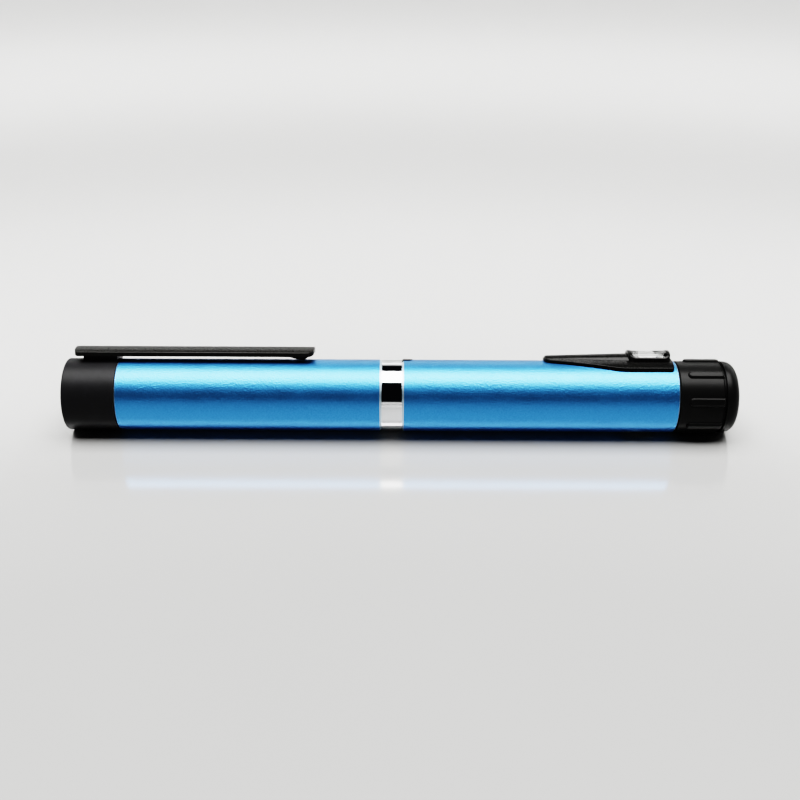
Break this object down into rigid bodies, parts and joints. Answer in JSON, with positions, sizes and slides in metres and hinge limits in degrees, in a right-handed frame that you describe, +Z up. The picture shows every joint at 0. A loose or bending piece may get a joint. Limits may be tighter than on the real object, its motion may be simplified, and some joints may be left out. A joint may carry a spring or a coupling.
{
  "type": "pocket ophthalmoscope",
  "caption": "Pen-shaped pocket ophthalmoscope with a round battery handle, pocket clip, view housing and a ribbed lens dial.",
  "frame": {"origin": "on the surface that it lies on, under the middle of the barrel", "axes": "+X along the barrel from the tail to the lens dial, +Z up as it lies; the clip side leans back towards +Y by 22.5 degrees"},
  "size_m": [0.1536, 0.0166, 0.0191],
  "materials": {
    "blue_anodised": "bead-blasted, blue anodised, satin",
    "black_anodised": "black anodised, satin",
    "black_clip": "black satin enamel",
    "black_plastic": "fine moulded satin",
    "chrome": "polished",
    "clear_window": "clear, polished",
    "optical_glass": "clear, polished, coated",
    "front_mirror": "front-silvered",
    "steel": "bright",
    "gold_contact": "plated",
    "bare_aluminium": "machined",
    "battery_can": "plain wrapped cell",
    "clear_liner": "translucent",
    "white_ptfe": "low-friction plastic",
    "rubber": "matt",
    "circuit_board": "green laminate",
    "chip": "black epoxy",
    "wire": "insulated wire",
    "led_emitter": "yellow phosphor under clear dome"
  },
  "bodies": {
    "root": {"aperture_disc": "black_plastic", "battery_front": "battery_can", "battery_rear": "battery_can", "battery_sleeve": "clear_liner", "board_parts": "chip", "board_spacer": "black_plastic", "chrome_ring": "chrome", "condenser_lens": "optical_glass", "coupling": "bare_aluminium", "detent_spring": "steel", "driver_board": "circuit_board", "drum_bush": "white_ptfe", "end_cap": "black_plastic", "front_contact": "gold_contact", "handle_tube": "blue_anodised", "head_tube": "blue_anodised", "index_insert": "black_plastic", "lead_wires": "wire", "led": "led_emitter", "led_board": "circuit_board", "led_holder": "black_anodised", "lens_barrel": "black_plastic", "lens_spacer": "black_plastic", "mirror": "front_mirror", "mirror_block": "black_plastic", "optics_frame": "black_anodised", "port_frame": "black_plastic", "port_window": "clear_window", "projector_lens": "optical_glass", "spindle": "steel", "thrust_washer": "white_ptfe", "view_housing": "black_plastic", "window_bezel": "black_plastic", "window_lens": "clear_window"},
    "tail": {"tail_cap": "black_anodised", "tail_seal": "rubber", "switch_body": "black_plastic", "switch_return_spring": "steel", "switch_retainer": "gold_contact", "tail_contact_spring": "gold_contact", "clip_post": "black_clip", "clip_screws": "steel"},
    "button": {"tail_button": "rubber", "switch_plunger": "black_plastic"},
    "clip": {"pocket_clip": "black_clip"},
    "dial": {"lens_drum": "black_plastic", "drum_lens_1": "optical_glass", "drum_lens_2": "optical_glass", "drum_lens_3": "optical_glass", "dial_ring": "black_plastic", "dial_screws": "steel"}
  },
  "joints": [
    {"name": "dial_turn", "type": "hinge", "parent": "root", "child": "dial", "pos_m": [0.0676, 0, 0.00827], "axis": [1, 0, 0], "continuous": true, "deforming": ["detent_spring"]},
    {"name": "tail_unscrew", "type": "slide", "parent": "root", "child": "tail", "axis": [-1, 0, 0], "range_m": [0, 0.012]},
    {"name": "button_press", "type": "slide", "parent": "tail", "child": "button", "axis": [1, 0, 0], "range_m": [0, 0.0012], "stiffness_N_per_m": 1500, "springref_m": -0.0003, "deforming": ["switch_return_spring"]},
    {"name": "clip_flex", "type": "hinge", "parent": "tail", "child": "clip", "pos_m": [-0.0727, 0.00386, 0.0176], "axis": [0, -0.9239, 0.3827], "range_deg": [0, 4], "stiffness_Nm_per_rad": 4, "springref_deg": -1.15}
  ]
}
